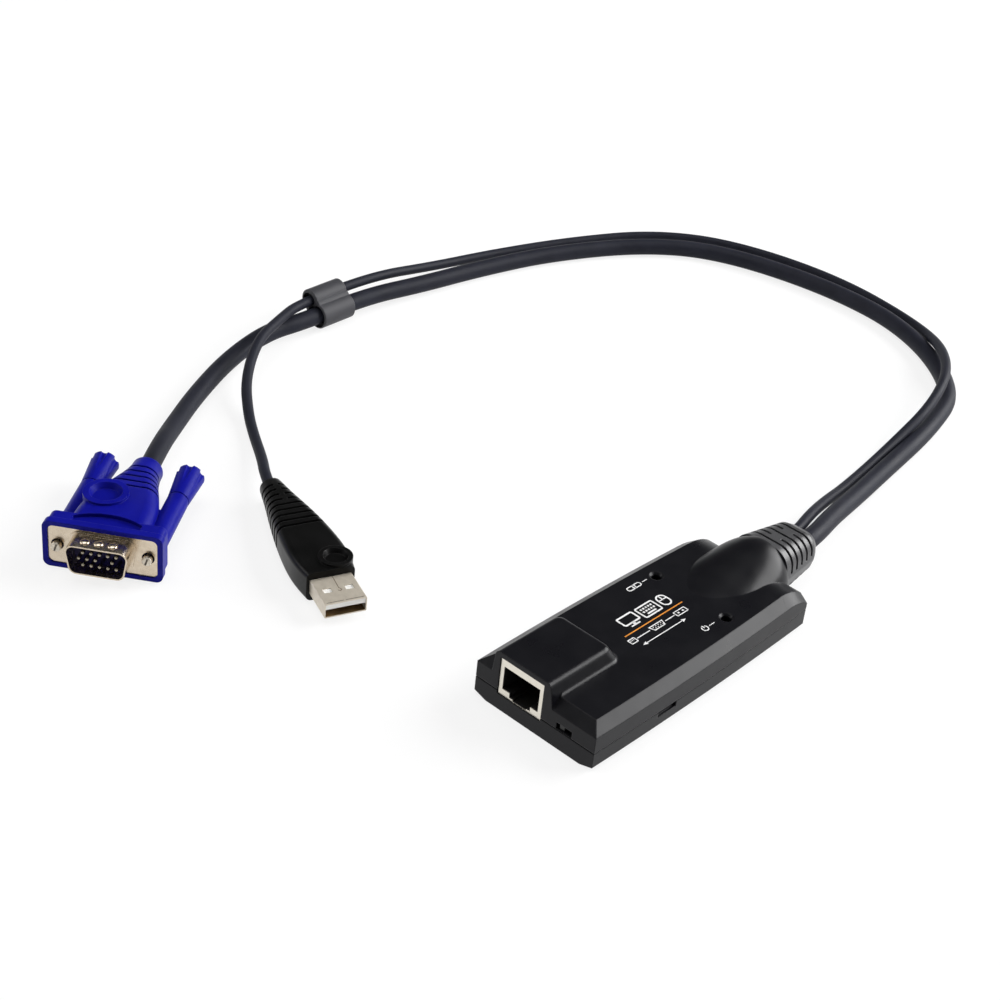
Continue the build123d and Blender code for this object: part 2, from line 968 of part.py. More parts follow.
video_floor = video_cable_diameter / 2
usb_floor = usb_cable_diameter / 2
crossing_clearance = 3.3
crossing_height = video_cable_diameter + usb_floor + crossing_clearance
cable_start = boot_end - cable_socket_depth
video_neck = video_plane.from_local_coords(Vector(-hood_length, 0, 0))
video_approach = video_plane.from_local_coords(Vector(-hood_length - 13, 0, 0))
usb_neck = usb_plane.from_local_coords(Vector(-usb_grip_end, 0, 0))
usb_approach = usb_plane.from_local_coords(Vector(-usb_grip_end - 7, 0, 0))

video_route = [
    (video_exit, cable_start, cable_axis_height),
    (video_exit, boot_end + 8.3, cable_axis_height),
    (video_exit - 5.2, boot_end + 28.3, 5.4),
    (-9.6, 116.0, video_floor),
    (-13.4, 147.0, video_floor),
    (-23.5, 178.0, video_floor),
    (-57.5, 200.5, video_floor),
    (-94.8, 203.4, video_floor),
    (-135.2, 193.7, video_floor),
    (-156.8, 173.7, video_floor),
    (-172.2, 140.9, video_floor),
    (-179.2, 111.2, video_floor),
    (-182.9, 86.9, video_floor + 0.5),
    (collar_video_x, collar_station + 16, collar_video_z),
    (collar_video_x, collar_station - 16, collar_video_z),
    (-186.0, 10.0, video_floor + 0.7),
    (-176.5, -14.5, video_floor),
    (-162.3, -38.5, 4.0),
    tuple(video_approach),
    tuple(video_neck),
]
usb_route = [
    (usb_exit, cable_start, cable_axis_height),
    (usb_exit, boot_end + 6.3, cable_axis_height),
    (usb_exit - 4.6, boot_end + 22.3, 6.0),
    (-13.2, 100.0, usb_floor),
    (-17.3, 126.0, usb_floor),
    (-18.8, 157.1, crossing_height),
    (-31.4, 184.3, crossing_height),
    (-58.8, 209.8, usb_floor),
    (-97.1, 218.0, usb_floor),
    (-139.2, 209.5, usb_floor),
    (-164.3, 191.0, usb_floor),
    (-178.6, 158.9, usb_floor),
    (-188.3, 128.3, usb_floor),
    (-190.6, 98.7, usb_floor + 2),
    (collar_usb_x, collar_station + 22, collar_usb_z),
    (collar_usb_x, collar_station - 16, collar_usb_z),
    (-181.0, 12.5, 10.4),
    (-167.9, -5.9, 6.0),
    (-157.0, -14.2, usb_floor + 0.3),
    (-146.0, -20.5, usb_floor),
    (-133.6, -29.0, 3.4),
    tuple(usb_approach),
    tuple(usb_neck),
]


def cable_collar():
    """Collar with one bore for each cable and an open mouth towards the plugs."""
    y0 = collar_station - collar_length / 2
    lobes = [
        (collar_video_x, collar_video_z, collar_video_z, video_cable_diameter / 2),
        (collar_usb_x, collar_usb_z, collar_usb_radius, usb_cable_diameter / 2),
    ]
    middle_x = (collar_video_x + collar_usb_x) / 2
    middle_z = (collar_video_z + collar_usb_z) / 2
    body = None
    for x, z, radius, core in lobes + [(middle_x, middle_z, collar_usb_radius, 0)]:
        lobe = Cylinder(radius, collar_length)
        lobe = chamfer(lobe.edges().filter_by(GeomType.CIRCLE), 0.5)
        lobe = Pos(x, collar_station, z) * Rot(90, 0, 0) * lobe
        body = lobe if body is None else body + lobe
    for x, z, radius, core in lobes:
        bore = Pos(x, collar_station, z) * Rot(90, 0, 0)
        body = body - bore * Cylinder(core + collar_bore_gap, collar_length + 2)
        mouth = Pos(x, y0 + collar_recess / 2, z) * Rot(90, 0, 0)
        body = body - mouth * Cylinder(core + collar_bore_gap + collar_recess_step, collar_recess)
    return body


def rounded(a, half_width, half_height, corner):
    """Rounded section of a plug at one station along its axis."""
    sketch = RectangleRounded(2 * half_width, 2 * half_height, corner)
    return Plane(origin=(a, 0, 0), x_dir=(0, 1, 0), z_dir=(1, 0, 0)) * sketch


def slab_rounded(a0, a1, half_width, half_height, corner):
    """Rounded plate across a plug between two stations."""
    return extrude(rounded(a0, half_width, half_height, corner), a1 - a0, dir=(1, 0, 0))


def d_solid(a0, a1, shrink):
    """D-shaped solid of the video connector, wide side up."""
    h = shell_half_height
    low = shell_half_width - 2 * h * tan(radians(10))
    points = [(-low, -h), (low, -h), (shell_half_width, h), (-shell_half_width, h)]
    face = make_face(Polyline(*points, close=True))
    face = fillet(face.vertices(), shell_corner)
    if shrink != 0:
        face = offset(face, -shrink)
    plane = Plane(origin=(a0, 0, 0), x_dir=(0, 1, 0), z_dir=(1, 0, 0))
    return extrude(plane * face, a1 - a0, dir=(1, 0, 0))


def hood_form(inset):
    """Body of the video plug from its flange to the neck."""
    sections = [
        (-rim_back + 0.8, hood_shoulder_half_width, hood_shoulder_half_height, 3.4),
        (-12.5, hood_shoulder_half_width - 0.3, hood_shoulder_half_height, 3.6),
        (-21.0, 9.3, 6.2, 3.8),
        (-31.0, 6.2, 5.3, 4.0),
        (-hood_length, hood_neck_radius + 0.05, hood_neck_radius + 0.05, hood_neck_radius - 0.1),
    ]
    faces = []
    for a, width, height, corner in sections:
        faces.append(rounded(a, width - inset, height - inset, corner - inset))
    return loft(faces)


def video_plug_hood():
    """Moulded hood of the video plug with the sleeves of its two screws."""
    step = rim_step
    shape = slab_rounded(
        -bezel_back - rim_groove,
        -bezel_back,
        bezel_half_width - 2 * step,
        bezel_half_height - 2 * step,
        bezel_corner - step,
    )
    shape = shape + slab_rounded(
        -rim_back,
        -bezel_back - rim_groove,
        bezel_half_width - step,
        bezel_half_height - step,
        bezel_corner,
    )
    body = hood_form(0)
    skin = hood_form(0) - hood_form(hood_groove_depth)
    for i in range(hood_grooves):
        a = -hood_first_groove - i * hood_groove_pitch
        slab = block(a - hood_groove_width, a, -15, 15, -15, 15)
        body = body - (skin & slab)
    shape = shape + body
    dip = Pos(hood_dip_radius - hood_dip, 0, hood_dip_floor + 5) * Cylinder(hood_dip_radius, 10)
    shape = shape - (dip & block(-20, -bezel_back, -9.5, 9.5, hood_dip_floor, 20))
    shape = shape + slab_rounded(
        -bezel_back, bezel_front, bezel_half_width, bezel_half_height, bezel_corner
    )
    for side in (-1, 1):
        b = side * screw_spacing / 2
        shape = shape + rod(-sleeve_back, -rim_back + 0.5, b, 0, sleeve_radius)
        shape = shape + block(-20.0, -rim_back + 0.5, side * 8.0, b, -2.2, 2.2)
    ring = Pos(-badge_station, badge_offset, badge_top / 2) * Cylinder(badge_radius, badge_top)
    shape = shape + ring
    depth = badge_top - badge_floor
    dish = Pos(-badge_station, badge_offset, badge_top - depth / 2) * Cone(
        badge_inner_radius - 0.9, badge_inner_radius, depth
    )
    shape = shape - dish
    for side in (-1, 1):
        b = side * screw_spacing / 2
        bore = thumbscrew_radius + thumbscrew_gap
        shape = shape - rod(-sleeve_back - 1, bezel_front + 1, b, 0, bore)
    shape = shape - slab_rounded(
        -plate_thickness, bezel_front + 1, plate_half_width, plate_half_height, plate_corner
    )
    return shape - block(-insulator_depth, 0, -9.4, 9.4, -4.9, 4.9)


def video_plug_shell():
    """Steel plate and D-shaped shell."""
    shape = slab_rounded(
        -plate_thickness, 0, plate_half_width, plate_half_height, plate_corner
    )
    shape = shape + d_solid(0, shell_reach, 0)
    shape = shape + d_solid(0, 0.45, -shell_bead)
    for b in (-3.4, 0.0, 3.4):
        shape = shape + Pos(3.1, b, shell_half_height - 0.45) * Sphere(0.85)
    shape = shape - d_solid(-plate_thickness - 1, shell_reach + 1, shell_sheet)
    for side in (-1, 1):
        hole = thumbscrew_radius + thumbscrew_gap
        shape = shape - rod(-2, 1, side * screw_spacing / 2, 0, hole)
    return shape


def pin_positions():
    """Places of the pins, three rows with one place left empty."""
    places = []
    for row, count in ((1, 5), (0, 5), (-1, 5)):
        shift = -pin_shift if row == 0 else pin_shift
        for i in range(count):
            if row == 0 and i == 3:
                continue
            places.append((shift + (i - 2) * pin_pitch, row * pin_row))
    return places


def video_plug_insulator():
    """Moulded block that carries the pins."""
    shape = block(-insulator_depth, -plate_thickness, -9.4, 9.4, -4.9, 4.9)
    shape = shape + d_solid(-plate_thickness, insulator_face, shell_sheet)
    holes = []
    for b, c in pin_positions():
        holes.append(rod(-insulator_depth - 1, insulator_face + 1, b, c, pin_radius))
    return shape.cut(*holes)


def video_plug_pins():
    """Contact pins of the video plug."""
    pins = []
    for b, c in pin_positions():
        pin = rod(-insulator_depth, pin_reach, b, c, pin_radius)
        pins.append(chamfer(pin.edges().sort_by(Axis.X)[-1], 0.2))
    return group(pins)


def thumbscrew_shaft(side):
    """Shaft of one thumbscrew."""
    b = side * screw_spacing / 2
    shaft = rod(-knob_start - thumbscrew_embed, thumbscrew_proud, b, 0, thumbscrew_radius)
    return chamfer(shaft.edges().sort_by(Axis.X)[-1], 0.35)


def thumbscrew_knob(side):
    """Fluted knob of one thumbscrew."""
    b = side * screw_spacing / 2
    length = knob_length
    centre = Pos(-knob_start - length / 2, b, 0)
    knob = centre * Rot(0, -90, 0) * Cone(knob_root_radius, knob_end_radius, length)
    for i in range(knob_flutes):
        angle = radians(30 + i * 360 / knob_flutes)
        y = b + (knob_end_radius + 0.55) * cos(angle)
        z = (knob_end_radius + 0.55) * sin(angle)
        knob = knob - rod(-knob_start - length - 1, -knob_start - 4.0, y, z, knob_flute_radius)
    return knob - rod(-knob_start - thumbscrew_embed, 0, b, 0, thumbscrew_radius)


def usb_grip_form(inset):
    """Tapering body of the grip."""
    h = usb_grip_half_height
    sections = [
        (-usb_shell_visible, 6.9, h, 1.6),
        (-16.0, 7.7, h, 1.8),
        (-23.0, 8.1, h, 2.0),
        (-31.0, 7.6, h - 0.05, 2.3),
        (-40.0, 6.5, h - 0.2, 2.7),
        (-47.5, 5.3, h - 0.5, 3.1),
        (-54.0, 4.2, h - 0.8, 3.3),
        (-usb_grip_end, 3.3, 3.2, 3.0),
    ]
    faces = []
    for a, width, height, corner in sections:
        faces.append(rounded(a, width - inset, height - inset, corner - inset))
    return loft(faces)


def usb_plug_grip():
    """Moulded grip of the USB plug."""
    body = usb_grip_form(0)
    skin = usb_grip_form(0) - usb_grip_form(usb_groove_depth)
    for i in range(usb_grooves):
        a = -usb_first_groove - i * usb_groove_pitch
        slab = block(a - usb_groove_width, a, -15, 15, -15, 15)
        cut = skin & slab
        if i > 4:
            cut = cut - block(a - 2, a + 1, -0.7, 0.7, 0, 15)
        body = body - cut
    centre = Pos(-usb_badge_station, usb_badge_offset, usb_badge_top / 2)
    body = body + centre * Cylinder(usb_badge_radius, usb_badge_top)
    depth = usb_badge_top - usb_badge_floor
    dish = Pos(-usb_badge_station, usb_badge_offset, usb_badge_top - depth / 2) * Cone(
        usb_badge_inner_radius - 0.7, usb_badge_inner_radius, depth
    )
    body = body - dish
    rear = -usb_shell_visible - usb_shell_embed
    half = usb_shell_width / 2
    high = usb_shell_height / 2
    return body - block(rear, 0, -half, half, -high, high)


def usb_plug_shell():
    """Folded steel shell of the USB plug."""
    rear = -usb_shell_visible - usb_shell_embed
    half = usb_shell_width / 2
    high = usb_shell_height / 2
    t = usb_shell_sheet
    shell = block(rear, 0, -half, half, -high, high)
    edges = [e for e in shell.edges().filter_by(Axis.X)]
    shell = fillet(edges, 0.35)
    shell = shell - block(rear - 1, 1, -half + t, half - t, -high + t, high - t)
    for side in (-1, 1):
        window = Pos(-usb_window_station, side * usb_window_offset, 0)
        shell = shell - window * Box(usb_window_length, usb_window_width, 10)
    return shell


def usb_plug_tongue():
    """Moulded tongue under the upper wall of the shell, with its block behind."""
    rear = -usb_shell_visible - usb_shell_embed
    half = usb_shell_width / 2 - usb_shell_sheet
    top = usb_shell_height / 2 - usb_shell_sheet
    low = top - usb_tongue_thickness
    tongue = block(rear, -usb_tongue_setback, -half, half, low, top)
    return tongue + block(rear, -usb_shell_visible, -half, half, -top, top)


def usb_plug_contacts():
    """Four flat contacts on the open side of the tongue."""
    low = usb_shell_height / 2 - usb_shell_sheet - usb_tongue_thickness
    strips = []
    for b, start in ((-3.5, 1.2), (-1.0, 2.2), (1.0, 2.2), (3.5, 1.2)):
        half = usb_contact_width / 2
        strips.append(
            block(-usb_shell_visible, -start, b - half, b + half, low - usb_contact_thickness, low)
        )
    return group(strips)


save("top_cover", top_cover())
save("bottom_cover", bottom_cover())
save("circuit_board", circuit_board())
save("cover_screws", cover_screws())
save("jack_shield", jack_shield())
save("jack_insert", jack_insert())
save("jack_contacts", jack_contacts())
save("slide_switch_case", switch_case())
save("slide_switch_knob", switch_knob())
save("link_lamp", lamp(-1))
save("supply_lamp", lamp(1))
save("main_chip", chip(0, front + 56.0, 12.0, 10, 1.6))
save("video_chip", chip(-1.0, front + 41.0, 9.0, 8, 1.5))
save("line_transformer", line_transformer())
save("crystal", crystal())
save("board_capacitors", board_capacitors())
save("cable_headers", cable_headers())
save("core_wires", core_wires())
save("cable_boot", cable_boot())
save("video_cable", cord("video cable", video_route, video_cable_diameter))
save("usb_cable", cord("usb cable", usb_route, usb_cable_diameter))
save("cable_collar", cable_collar())

video_place = video_plane.location
save("video_plug_hood", video_place * video_plug_hood())
save("video_plug_shell", video_place * video_plug_shell())
save("video_plug_insulator", video_place * video_plug_insulator())
save("video_plug_pins", video_place * video_plug_pins())
save("left_thumbscrew_shaft", video_place * thumbscrew_shaft(-1))
save("left_thumbscrew_knob", video_place * thumbscrew_knob(-1))
save("right_thumbscrew_shaft", video_place * thumbscrew_shaft(1))
save("right_thumbscrew_knob", video_place * thumbscrew_knob(1))

usb_place = usb_plane.location
save("usb_plug_grip", usb_place * usb_plug_grip())
save("usb_plug_shell", usb_place * usb_plug_shell())
save("usb_plug_tongue", usb_place * usb_plug_tongue())
save("usb_plug_contacts", usb_place * usb_plug_contacts())
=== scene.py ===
from math import cos, pi, radians, sin

import bpy
from mathutils import Matrix, Vector


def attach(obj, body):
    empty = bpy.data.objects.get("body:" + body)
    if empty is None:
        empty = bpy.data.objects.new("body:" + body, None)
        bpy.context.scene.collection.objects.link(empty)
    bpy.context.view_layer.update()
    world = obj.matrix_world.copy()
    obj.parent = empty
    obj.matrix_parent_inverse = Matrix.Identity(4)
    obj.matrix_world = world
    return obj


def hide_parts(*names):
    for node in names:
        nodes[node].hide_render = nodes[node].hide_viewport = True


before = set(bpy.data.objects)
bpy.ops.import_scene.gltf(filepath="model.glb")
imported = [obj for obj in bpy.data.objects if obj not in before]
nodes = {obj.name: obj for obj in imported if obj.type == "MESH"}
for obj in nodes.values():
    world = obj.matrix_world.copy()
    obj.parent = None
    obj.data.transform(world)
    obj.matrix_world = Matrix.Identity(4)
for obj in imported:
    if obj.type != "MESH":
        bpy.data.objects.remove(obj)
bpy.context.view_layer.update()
scene = bpy.context.scene
scene.view_settings.view_transform = "Standard"

MM = 0.001
ROOT = "case_and_cables"


def mm(*values):
    """Point in metres from millimetres."""
    return Vector(values) * MM


# Camera, fitted to the photograph, its place and reach in metres and its lens in millimetres
AZIMUTH = radians(39.88)
ELEVATION = radians(33.49)
ROLL = radians(6.22)
CAMERA_PLACE = mm(236.06, -360.19, 322.86)
FOCAL_LENGTH = 71.78
SENSOR_WIDTH = 36.0
NEAREST = 0.05
FARTHEST = 10.0


def photo_camera():
    """Camera at the place and angle of the photograph."""
    back = Vector((sin(AZIMUTH) * cos(ELEVATION), -cos(AZIMUTH) * cos(ELEVATION), sin(ELEVATION)))
    level = Vector((cos(AZIMUTH), sin(AZIMUTH), 0))
    upright = back.cross(level)
    right = cos(ROLL) * level + sin(ROLL) * upright
    up = cos(ROLL) * upright - sin(ROLL) * level
    turn = Matrix((right, up, back)).transposed().to_4x4()
    data = bpy.data.cameras.new("camera")
    data.lens = FOCAL_LENGTH
    data.sensor_width = SENSOR_WIDTH
    data.clip_start = NEAREST
    data.clip_end = FARTHEST
    camera = bpy.data.objects.new("camera", data)
    camera.matrix_world = Matrix.Translation(CAMERA_PLACE) @ turn
    scene.collection.objects.link(camera)
    scene.camera = camera


photo_camera()


# Materials: most noise values lie between NOISE_LOW and NOISE_HIGH, and scales count per metre
NOISE_LOW = 0.3
NOISE_HIGH = 0.7
NOISE_ROUGHNESS = 0.6
BEVEL_SAMPLES = 6
PLASTIC_PATCHES = 120.0
PLASTIC_GRAIN = 3500.0
PLASTIC_DEPTH = 0.000004
METAL_PATCHES = 600.0


def material(name):
    """New node material with its shader and a position to build textures from."""
    mat = bpy.data.materials.new(name)
    mat.use_nodes = True
    tree = mat.node_tree
    tree.nodes.clear()
    out = tree.nodes.new("ShaderNodeOutputMaterial")
    shader = tree.nodes.new("ShaderNodeBsdfPrincipled")
    tree.links.new(shader.outputs[0], out.inputs[0])
    place = tree.nodes.new("ShaderNodeTexCoord")
    return mat, tree, shader, place.outputs["Object"]


def noise(tree, place, scale, detail=3.0):
    """Noise texture value."""
    tex = tree.nodes.new("ShaderNodeTexNoise")
    tex.inputs["Scale"].default_value = scale
    tex.inputs["Detail"].default_value = detail
    tex.inputs["Roughness"].default_value = NOISE_ROUGHNESS
    tree.links.new(place, tex.inputs["Vector"])
    return tex.outputs["Fac"]


def ramp(tree, value, low, high, start=NOISE_LOW, end=NOISE_HIGH):
    """Two colours blended by a value."""
    node = tree.nodes.new("ShaderNodeValToRGB")
    node.color_ramp.elements[0].position = start
    node.color_ramp.elements[1].position = end
    node.color_ramp.elements[0].color = (*low, 1)
    node.color_ramp.elements[1].color = (*high, 1)
    tree.links.new(value, node.inputs[0])
    return node.outputs[0]


def span(tree, value, low, high):
    """Noise value moved to a range."""
    node = tree.nodes.new("ShaderNodeMapRange")
    node.inputs["From Min"].default_value = NOISE_LOW
    node.inputs["From Max"].default_value = NOISE_HIGH
    node.inputs["To Min"].default_value = low
    node.inputs["To Max"].default_value = high
    tree.links.new(value, node.inputs["Value"])
    return node.outputs[0]


def bumped(tree, value, depth, edge):
    """Normal from a height, over edges rounded by a radius, or sharp edges at 0."""
    bump = tree.nodes.new("ShaderNodeBump")
    bump.inputs["Strength"].default_value = 1.0
    bump.inputs["Distance"].default_value = depth
    tree.links.new(value, bump.inputs["Height"])
    if edge > 0:
        bevel = tree.nodes.new("ShaderNodeBevel")
        bevel.samples = BEVEL_SAMPLES
        bevel.inputs["Radius"].default_value = edge
        tree.links.new(bevel.outputs[0], bump.inputs["Normal"])
    return bump.outputs[0]


def plastic(name, low, high, rough, edge=0.00025, specular=0.5):
    """Moulded plastic or rubber with fine grain."""
    mat, tree, shader, place = material(name)
    broad = noise(tree, place, PLASTIC_PATCHES)
    fine = noise(tree, place, PLASTIC_GRAIN, 2.0)
    tree.links.new(ramp(tree, broad, low, high), shader.inputs["Base Color"])
    tree.links.new(span(tree, broad, rough - 0.04, rough + 0.05), shader.inputs["Roughness"])
    tree.links.new(bumped(tree, fine, PLASTIC_DEPTH, edge), shader.inputs["Normal"])
    shader.inputs["Specular IOR Level"].default_value = specular
    return mat


def metal(name, low, high, rough, grain=900.0, depth=0.000006, edge=0.0001, metallic=1.0):
    """Plated sheet metal with faint unevenness."""
    mat, tree, shader, place = material(name)
    broad = noise(tree, place, METAL_PATCHES, 4.0)
    fine = noise(tree, place, grain, 4.0)
    tree.links.new(ramp(tree, broad, low, high), shader.inputs["Base Color"])
    tree.links.new(span(tree, fine, rough - 0.06, rough + 0.08), shader.inputs["Roughness"])
    tree.links.new(bumped(tree, fine, depth, edge), shader.inputs["Normal"])
    shader.inputs["Metallic"].default_value = metallic
    return mat


case_black = plastic(
    "case_black", (0.0045, 0.0045, 0.006), (0.0052, 0.0052, 0.0068), 0.31, edge=0.0004, specular=0.17
)
insert_black = plastic("insert_black", (0.004, 0.004, 0.004), (0.007, 0.007, 0.007), 0.45)
board_green = plastic("board_green", (0.01, 0.09, 0.03), (0.02, 0.16, 0.05), 0.35)
jack_steel = metal("jack_steel", (0.74, 0.7, 0.61), (0.8, 0.76, 0.68), 0.35)
screw_steel = metal("screw_steel", (0.5, 0.5, 0.5), (0.58, 0.58, 0.58), 0.3)
plug_nickel = metal("plug_nickel", (0.57, 0.48, 0.37), (0.66, 0.57, 0.45), 0.24, grain=500.0, depth=0.000002)
usb_steel = metal("usb_steel", (0.6, 0.54, 0.45), (0.68, 0.62, 0.52), 0.4, edge=0.00015, metallic=0.6)
pin_gold = metal("pin_gold", (0.3, 0.27, 0.21), (0.36, 0.33, 0.26), 0.16, edge=0.0004)
contact_brass = metal("contact_brass", (0.75, 0.55, 0.25), (0.82, 0.62, 0.32), 0.3)
can_aluminium = metal("can_aluminium", (0.6, 0.6, 0.62), (0.66, 0.66, 0.68), 0.35)
header_white = plastic("header_white", (0.65, 0.62, 0.52), (0.72, 0.69, 0.59), 0.5)
core_grey = plastic("core_grey", (0.1, 0.1, 0.1), (0.14, 0.14, 0.14), 0.5)
lamp_lens = plastic("lamp_lens", (0.008, 0.01, 0.008), (0.014, 0.018, 0.014), 0.2)
boot_grey = plastic("boot_grey", (0.03, 0.03, 0.032), (0.038, 0.038, 0.041), 0.36, specular=0.45)
cable_grey = plastic("cable_grey", (0.012, 0.0128, 0.019), (0.016, 0.017, 0.025), 0.5, specular=0.1)
collar_grey = plastic("collar_grey", (0.036, 0.036, 0.041), (0.046, 0.046, 0.052), 0.5, specular=0.2)
plug_blue = plastic("plug_blue", (0.0024, 0.0034, 0.19), (0.0036, 0.005, 0.23), 0.38, specular=0.09)
insulator_dark = plastic("insulator_dark", (0.004, 0.002, 0.055), (0.007, 0.004, 0.08), 0.4, specular=0.3)
grip_black = plastic("grip_black", (0.0018, 0.0018, 0.0018), (0.003, 0.003, 0.003), 0.33, specular=0.14)
tongue_white = plastic("tongue_white", (0.7, 0.69, 0.66), (0.76, 0.75, 0.72), 0.4)

FINISH = {
    "top_cover": case_black,
    "bottom_cover": case_black,
    "circuit_board": board_green,
    "cover_screws": screw_steel,
    "jack_shield": jack_steel,
    "jack_insert": insert_black,
    "jack_contacts": contact_brass,
    "slide_switch_case": insert_black,
    "slide_switch_knob": insert_black,
    "link_lamp": lamp_lens,
    "supply_lamp": lamp_lens,
    "main_chip": insert_black,
    "video_chip": insert_black,
    "line_transformer": insert_black,
    "crystal": screw_steel,
    "board_capacitors": can_aluminium,
    "cable_headers": header_white,
    "core_wires": core_grey,
    "cable_boot": boot_grey,
    "cable_collar": collar_grey,
    "video_plug_hood": plug_blue,
    "video_plug_shell": plug_nickel,
    "video_plug_insulator": insulator_dark,
    "video_plug_pins": pin_gold,
    "left_thumbscrew_shaft": plug_nickel,
    "left_thumbscrew_knob": plug_blue,
    "right_thumbscrew_shaft": plug_nickel,
    "right_thumbscrew_knob": plug_blue,
    "usb_plug_grip": grip_black,
    "usb_plug_shell": usb_steel,
    "usb_plug_tongue": tongue_white,
    "usb_plug_contacts": pin_gold,
}
for name, finish in FINISH.items():
    mesh = nodes[name].data
    mesh.materials.clear()
    mesh.materials.append(finish)

# Cables: diameters and routes in millimetres
VIDEO_SIZE = 5.8
USB_SIZE = 3.3
STEPS_ALONG = 24
STEPS_ROUND = 8
VIDEO_ROUTE = [
    (1.6, 52.7, 8.1),
    (1.0, 61.8, 8.1),
    (-2.9, 76.7, 6.4),
    (-6.8, 95.9, 3.6),
    (-10.1, 115.8, 2.9),
    (-14.5, 147.4, 2.9),
    (-22.8, 177.0, 2.9),
    (-57.3, 200.6, 2.9),
    (-94.9, 203.4, 2.9),
    (-135.6, 193.5, 2.9),
    (-156.6, 173.9, 2.9),
    (-172.2, 140.9, 2.9),
    (-179.4, 111.2, 2.9),
    (-182.6, 86.9, 3.4),
    (-186.35, 64.0, 4.4),
    (-186.35, 36.0, 4.4),
    (-188.8, 21.5, 3.9),
    (-184.2, 1.6, 2.9),
    (-173.6, -20.4, 2.9),
    (-162.2, -38.4, 4.0),
    (-151.6, -52.2, 7.4),
    (-143.97, -62.45, 7.4),
]
USB_ROUTE = [
    (-3.4, 52.7, 8.1),
    (-3.8, 60.1, 8.1),
    (-6.9, 71.0, 7.4),
    (-10.2, 84.0, 4.8),
    (-13.2, 99.4, 1.65),
    (-16.7, 125.6, 1.9),
    (-17.3, 155.2, 10.75),
    (-30.8, 183.0, 10.4),
    (-58.6, 208.3, 1.65),
    (-97.0, 213.8, 1.65),
    (-138.3, 204.8, 1.65),
    (-161.6, 186.3, 1.65),
    (-175.8, 156.8, 1.65),
    (-185.8, 127.2, 1.65),
    (-189.7, 98.5, 3.65),
    (-190.2, 70.0, 8.6),
    (-190.2, 36.0, 8.6),
    (-184.9, 23.9, 9.8),
    (-179.1, 9.2, 9.8),
    (-167.9, -5.4, 6.0),
    (-156.6, -13.9, 1.95),
    (-146.1, -20.6, 1.65),
    (-133.1, -28.7, 3.2),
    (-124.7, -35.0, 4.5),
    (-118.77, -38.01, 4.5),
]


def cable(name, route, size, finish, node):
    """Round cable along the control points of its route."""
    curve = bpy.data.curves.new(name, "CURVE")
    curve.dimensions = "3D"
    spline = curve.splines.new("NURBS")
    spline.points.add(len(route) - 1)
    for point, place in zip(spline.points, route):
        point.co = (*mm(*place), 1)
    spline.order_u = 3
    spline.use_endpoint_u = True
    spline.resolution_u = STEPS_ALONG
    curve.bevel_depth = size / 2 * MM
    curve.bevel_resolution = STEPS_ROUND
    curve.use_fill_caps = True
    curve.materials.append(finish)
    obj = bpy.data.objects.new(name, curve)
    scene.collection.objects.link(obj)
    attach(obj, ROOT)
    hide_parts(node)
    return obj


video_cable = cable("video_cable_jacket", VIDEO_ROUTE, VIDEO_SIZE, cable_grey, "video_cable")
usb_cable = cable("usb_cable_jacket", USB_ROUTE, USB_SIZE, cable_grey, "usb_cable")


# Pieces too fine for the solids, in millimetres from the case top or from the plugs' mouths
CASE_TOP = 13.03
PRINT_THICKNESS = 0.02
VIDEO_ORIGIN = (-120.45, -96.04, 7.4)
VIDEO_HEADING = -55.0
USB_ORIGIN = (-63.14, -60.49, 4.5)
USB_HEADING = -22.0
CORNER_STEPS = 6
TURN_STEPS = 40


def case_print(u, v):
    """Place on the flat top of the case, read from the jack end towards the cables."""
    return mm(-v, u, CASE_TOP + PRINT_THICKNESS)


def plug_place(origin, heading):
    """Function that turns plug axes, ahead, across and up, into row axes."""
    turn = radians(heading)
    ahead = Vector((cos(turn), sin(turn), 0))
    across = Vector((-sin(turn), cos(turn), 0))

    def place(a, b, c):
        return (Vector(origin) + a * ahead + b * across + Vector((0, 0, c))) * MM

    return place


video_place = plug_place(VIDEO_ORIGIN, VIDEO_HEADING)
usb_place = plug_place(USB_ORIGIN, USB_HEADING)


def arc(u, v, radius, start, end, steps):
    """Points along an arc, from one angle to another in degrees."""
    turns = [radians(start + (end - start) * i / steps) for i in range(steps + 1)]
    return [(u + radius * cos(t), v + radius * sin(t)) for t in turns]


def rounded(u0, v0, u1, v1, radius):
    """Closed outline of a rectangle with round corners."""
    points = []
    for u, v, start in (
        (u1 - radius, v1 - radius, 0),
        (u0 + radius, v1 - radius, 90),
        (u0 + radius, v0 + radius, 180),
        (u1 - radius, v0 + radius, 270),
    ):
        points += arc(u, v, radius, start, start + 90, CORNER_STEPS)
    return points


def band(points, width, closed=False):
    """Rings of vertices and faces for a line of even width."""
    path = [Vector(point) for point in points]
    count = len(path)
    vertices = []
    for i, here in enumerate(path):
        ahead = path[(i + 1) % count] if closed or i < count - 1 else None
        behind = path[i - 1] if closed or i > 0 else None
        after = (ahead - here).normalized() if ahead else (here - behind).normalized()
        before = (here - behind).normalized() if behind else after
        middle = (before + after).normalized()
        side = Vector((-middle.y, middle.x)) * width / 2 / max(middle.dot(after), 0.5)
        vertices += [here + side, here - side]
    spans = count if closed else count - 1
    faces = []
    for i in range(spans):
        j = (i + 1) % count
        faces.append((2 * i + 1, 2 * j + 1, 2 * j, 2 * i))
    return vertices, faces


def filled(points):
    """Vertices and one face inside an outline."""
    return [Vector(point) for point in points], [tuple(range(len(points)))]


def add_piece(name, mesh, finish, body):
    """Object that carries a finish and rides on a body."""
    mesh.materials.append(finish)
    obj = bpy.data.objects.new(name, mesh)
    scene.collection.objects.link(obj)
    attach(obj, body)
    return obj


